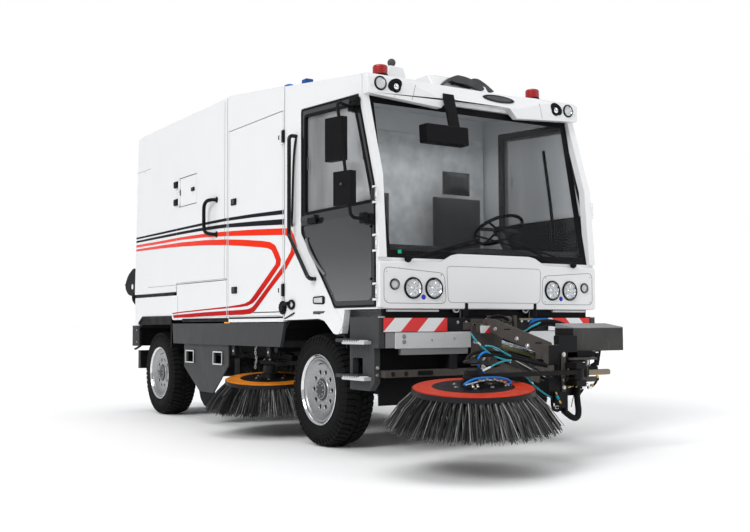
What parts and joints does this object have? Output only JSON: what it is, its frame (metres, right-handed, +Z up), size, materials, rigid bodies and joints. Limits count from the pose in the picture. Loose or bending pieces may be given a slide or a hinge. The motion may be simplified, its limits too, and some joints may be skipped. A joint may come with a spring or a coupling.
{
  "type": "street sweeper truck",
  "caption": "Compact truck street sweeper with a tipping hopper, side gutter brushes and a long-reach front brush.",
  "frame": {"origin": "bottom centre of the bounding box, on the ground in the truck's middle plane, halfway between the front brush's foremost point and the tow eye's rearmost", "axes": "+Z up, -Y the driving direction, +X the vehicle's left"},
  "size_m": [2.8223, 6.7772, 3.0219],
  "materials": {
    "body_paint": "glossy white paint",
    "grey_paint": "satin dark grey paint",
    "black_metal": "satin black paint",
    "frame_black": "matte black paint",
    "glass_dark": "tinted glass",
    "rubber_tyre": "matte black rubber",
    "rim_paint": "silver wheel paint",
    "plastic_black": "matte black plastic",
    "seat_cloth": "dark grey cloth",
    "bristle": "dark bristles",
    "beacon_lens": "orange-red lens",
    "lamp_lens": "clear lamp lens",
    "bumper_mix": "red and white boards on steel",
    "iron": "cast iron"
  },
  "bodies": {
    "chassis": {"frame_rails": "frame_black", "frame_crosses": "frame_black", "frame_mounts": "frame_black", "axles": "iron", "cab_shell": "body_paint", "front_panel": "body_paint", "windscreen": "glass_dark", "roof_visor": "body_paint", "air_conditioner": "body_paint", "seats": "seat_cloth", "dashboard": "plastic_black", "engine_bay": "body_paint", "engine": "iron", "rear_base": "body_paint", "side_skirts": "grey_paint", "rear_bumper": "grey_paint", "front_bumper": "bumper_mix", "corner_steps": "grey_paint", "cab_handrails": "black_metal", "lamps": "lamp_lens", "beacons": "beacon_lens", "wipers": "plastic_black", "nose_mirror": "plastic_black", "arm_base": "frame_black", "side_brush_brackets": "frame_black", "roller_hanger": "frame_black"},
    "knuckle_right": {"knuckle_right": "iron"},
    "wheel_front_right": {"tyre_front_right": "rubber_tyre", "rim_front_right": "rim_paint"},
    "wheel_rear_right": {"tyre_rear_right": "rubber_tyre", "rim_rear_right": "rim_paint"},
    "cab_door_right": {"cab_door_right": "body_paint", "door_glass_right": "glass_dark"},
    "service_door_right": {"service_door_right": "body_paint"},
    "side_arm_right": {"side_arm_right": "frame_black"},
    "side_brush_right": {"side_brush_right": "bristle"},
    "knuckle_left": {"knuckle_left": "iron"},
    "wheel_front_left": {"tyre_front_left": "rubber_tyre", "rim_front_left": "rim_paint"},
    "wheel_rear_left": {"tyre_rear_left": "rubber_tyre", "rim_rear_left": "rim_paint"},
    "cab_door_left": {"cab_door_left": "body_paint", "door_glass_left": "glass_dark"},
    "service_door_left": {"service_door_left": "body_paint"},
    "side_arm_left": {"side_arm_left": "frame_black"},
    "side_brush_left": {"side_brush_left": "bristle"},
    "hopper": {"hopper": "body_paint"},
    "side_hatch": {"side_hatch": "body_paint"},
    "tail_door": {"tail_door": "body_paint"},
    "high_link": {"high_link": "frame_black"},
    "low_link": {"low_link": "frame_black"},
    "arm_column": {"arm_column": "frame_black"},
    "swing_arm": {"swing_arm": "frame_black"},
    "front_brush": {"front_brush": "bristle"},
    "roller_brush": {"roller_brush": "bristle"}
  },
  "joints": [
    {"name": "wheel_front_right_spin", "type": "hinge", "parent": "knuckle_right", "child": "wheel_front_right", "pos_m": [-0.868, -1.0964, 0.433], "axis": [1, 0, 0], "continuous": true},
    {"name": "wheel_rear_right_spin", "type": "hinge", "parent": "chassis", "child": "wheel_rear_right", "pos_m": [-0.868, 2.3136, 0.433], "axis": [1, 0, 0], "continuous": true},
    {"name": "steer_right", "type": "hinge", "parent": "chassis", "child": "knuckle_right", "pos_m": [-0.64, -1.0964, 0.433], "axis": [0, 0, 1], "range_deg": [-32, 32]},
    {"name": "cab_door_right_hinge", "type": "hinge", "parent": "chassis", "child": "cab_door_right", "pos_m": [-1.038, -1.9624, 1.5], "axis": [0, 0, 1], "range_deg": [0, 70]},
    {"name": "service_door_right_hinge", "type": "hinge", "parent": "chassis", "child": "service_door_right", "pos_m": [-1.038, -0.5564, 1.841], "axis": [0, 0, 1], "range_deg": [0, 90]},
    {"name": "side_arm_right_swing", "type": "hinge", "parent": "chassis", "child": "side_arm_right", "pos_m": [-0.47, 0.2836, 0.59], "axis": [0, 0, -1], "range_deg": [-8, 15]},
    {"name": "side_brush_right_spin", "type": "hinge", "parent": "side_arm_right", "child": "side_brush_right", "pos_m": [-0.87, -0.0364, 0.466], "axis": [-0.0516, -0.0807, 0.9954], "continuous": true},
    {"name": "wheel_front_left_spin", "type": "hinge", "parent": "knuckle_left", "child": "wheel_front_left", "pos_m": [0.868, -1.0964, 0.433], "axis": [1, 0, 0], "continuous": true},
    {"name": "wheel_rear_left_spin", "type": "hinge", "parent": "chassis", "child": "wheel_rear_left", "pos_m": [0.868, 2.3136, 0.433], "axis": [1, 0, 0], "continuous": true},
    {"name": "steer_left", "type": "hinge", "parent": "chassis", "child": "knuckle_left", "pos_m": [0.64, -1.0964, 0.433], "axis": [0, 0, 1], "range_deg": [-32, 32]},
    {"name": "cab_door_left_hinge", "type": "hinge", "parent": "chassis", "child": "cab_door_left", "pos_m": [1.038, -1.9624, 1.5], "axis": [0, 0, -1], "range_deg": [0, 70]},
    {"name": "service_door_left_hinge", "type": "hinge", "parent": "chassis", "child": "service_door_left", "pos_m": [1.038, -0.5564, 1.841], "axis": [0, 0, -1], "range_deg": [0, 90]},
    {"name": "side_arm_left_swing", "type": "hinge", "parent": "chassis", "child": "side_arm_left", "pos_m": [0.47, 0.2836, 0.59], "axis": [0, 0, 1], "range_deg": [-8, 15]},
    {"name": "side_brush_left_spin", "type": "hinge", "parent": "side_arm_left", "child": "side_brush_left", "pos_m": [0.87, -0.0364, 0.466], "axis": [0.0516, -0.0807, 0.9954], "continuous": true},
    {"name": "hopper_tilt", "type": "hinge", "parent": "chassis", "child": "hopper", "pos_m": [0, 3.1236, 1.365], "axis": [-1, 0, 0], "range_deg": [0, 50]},
    {"name": "side_hatch_hinge", "type": "hinge", "parent": "hopper", "child": "side_hatch", "pos_m": [-1.038, 1.6696, 2.263], "axis": [0, 0, -1], "range_deg": [0, 100]},
    {"name": "tail_door_hinge", "type": "hinge", "parent": "hopper", "child": "tail_door", "pos_m": [0, 2.8956, 2.88], "axis": [1, 0, 0], "range_deg": [0, 100]},
    {"name": "high_link_lift", "type": "hinge", "parent": "chassis", "child": "high_link", "pos_m": [-0.06, -2.1014, 0.905], "axis": [1, 0, 0], "range_deg": [-15, 20]},
    {"name": "column_level", "type": "hinge", "parent": "high_link", "child": "arm_column", "pos_m": [-0.06, -2.7064, 0.725], "axis": [1, 0, 0], "range_deg": [-20, 15]},
    {"name": "low_link_lift", "type": "hinge", "parent": "chassis", "child": "low_link", "pos_m": [-0.06, -2.1014, 0.69], "axis": [1, 0, 0], "range_deg": [-15, 20]},
    {"name": "brush_arm_swing", "type": "hinge", "parent": "arm_column", "child": "swing_arm", "pos_m": [-0.01, -2.8824, 0.592], "axis": [0, 0, 1], "range_deg": [-10, 60]},
    {"name": "front_brush_spin", "type": "hinge", "parent": "swing_arm", "child": "front_brush", "pos_m": [-0.87, -2.8564, 0.53], "axis": [-0.0516, -0.0807, 0.9954], "continuous": true},
    {"name": "roller_spin", "type": "hinge", "parent": "chassis", "child": "roller_brush", "pos_m": [0, 1.0736, 0.3], "axis": [1, 0, 0], "continuous": true}
  ],
  "couplings": [
    {"joint": "steer_left", "follows": "steer_right", "ratio": 1},
    {"joint": "column_level", "follows": "high_link_lift", "ratio": -1},
    {"joint": "low_link_lift", "follows": "high_link_lift", "ratio": 1}
  ]
}
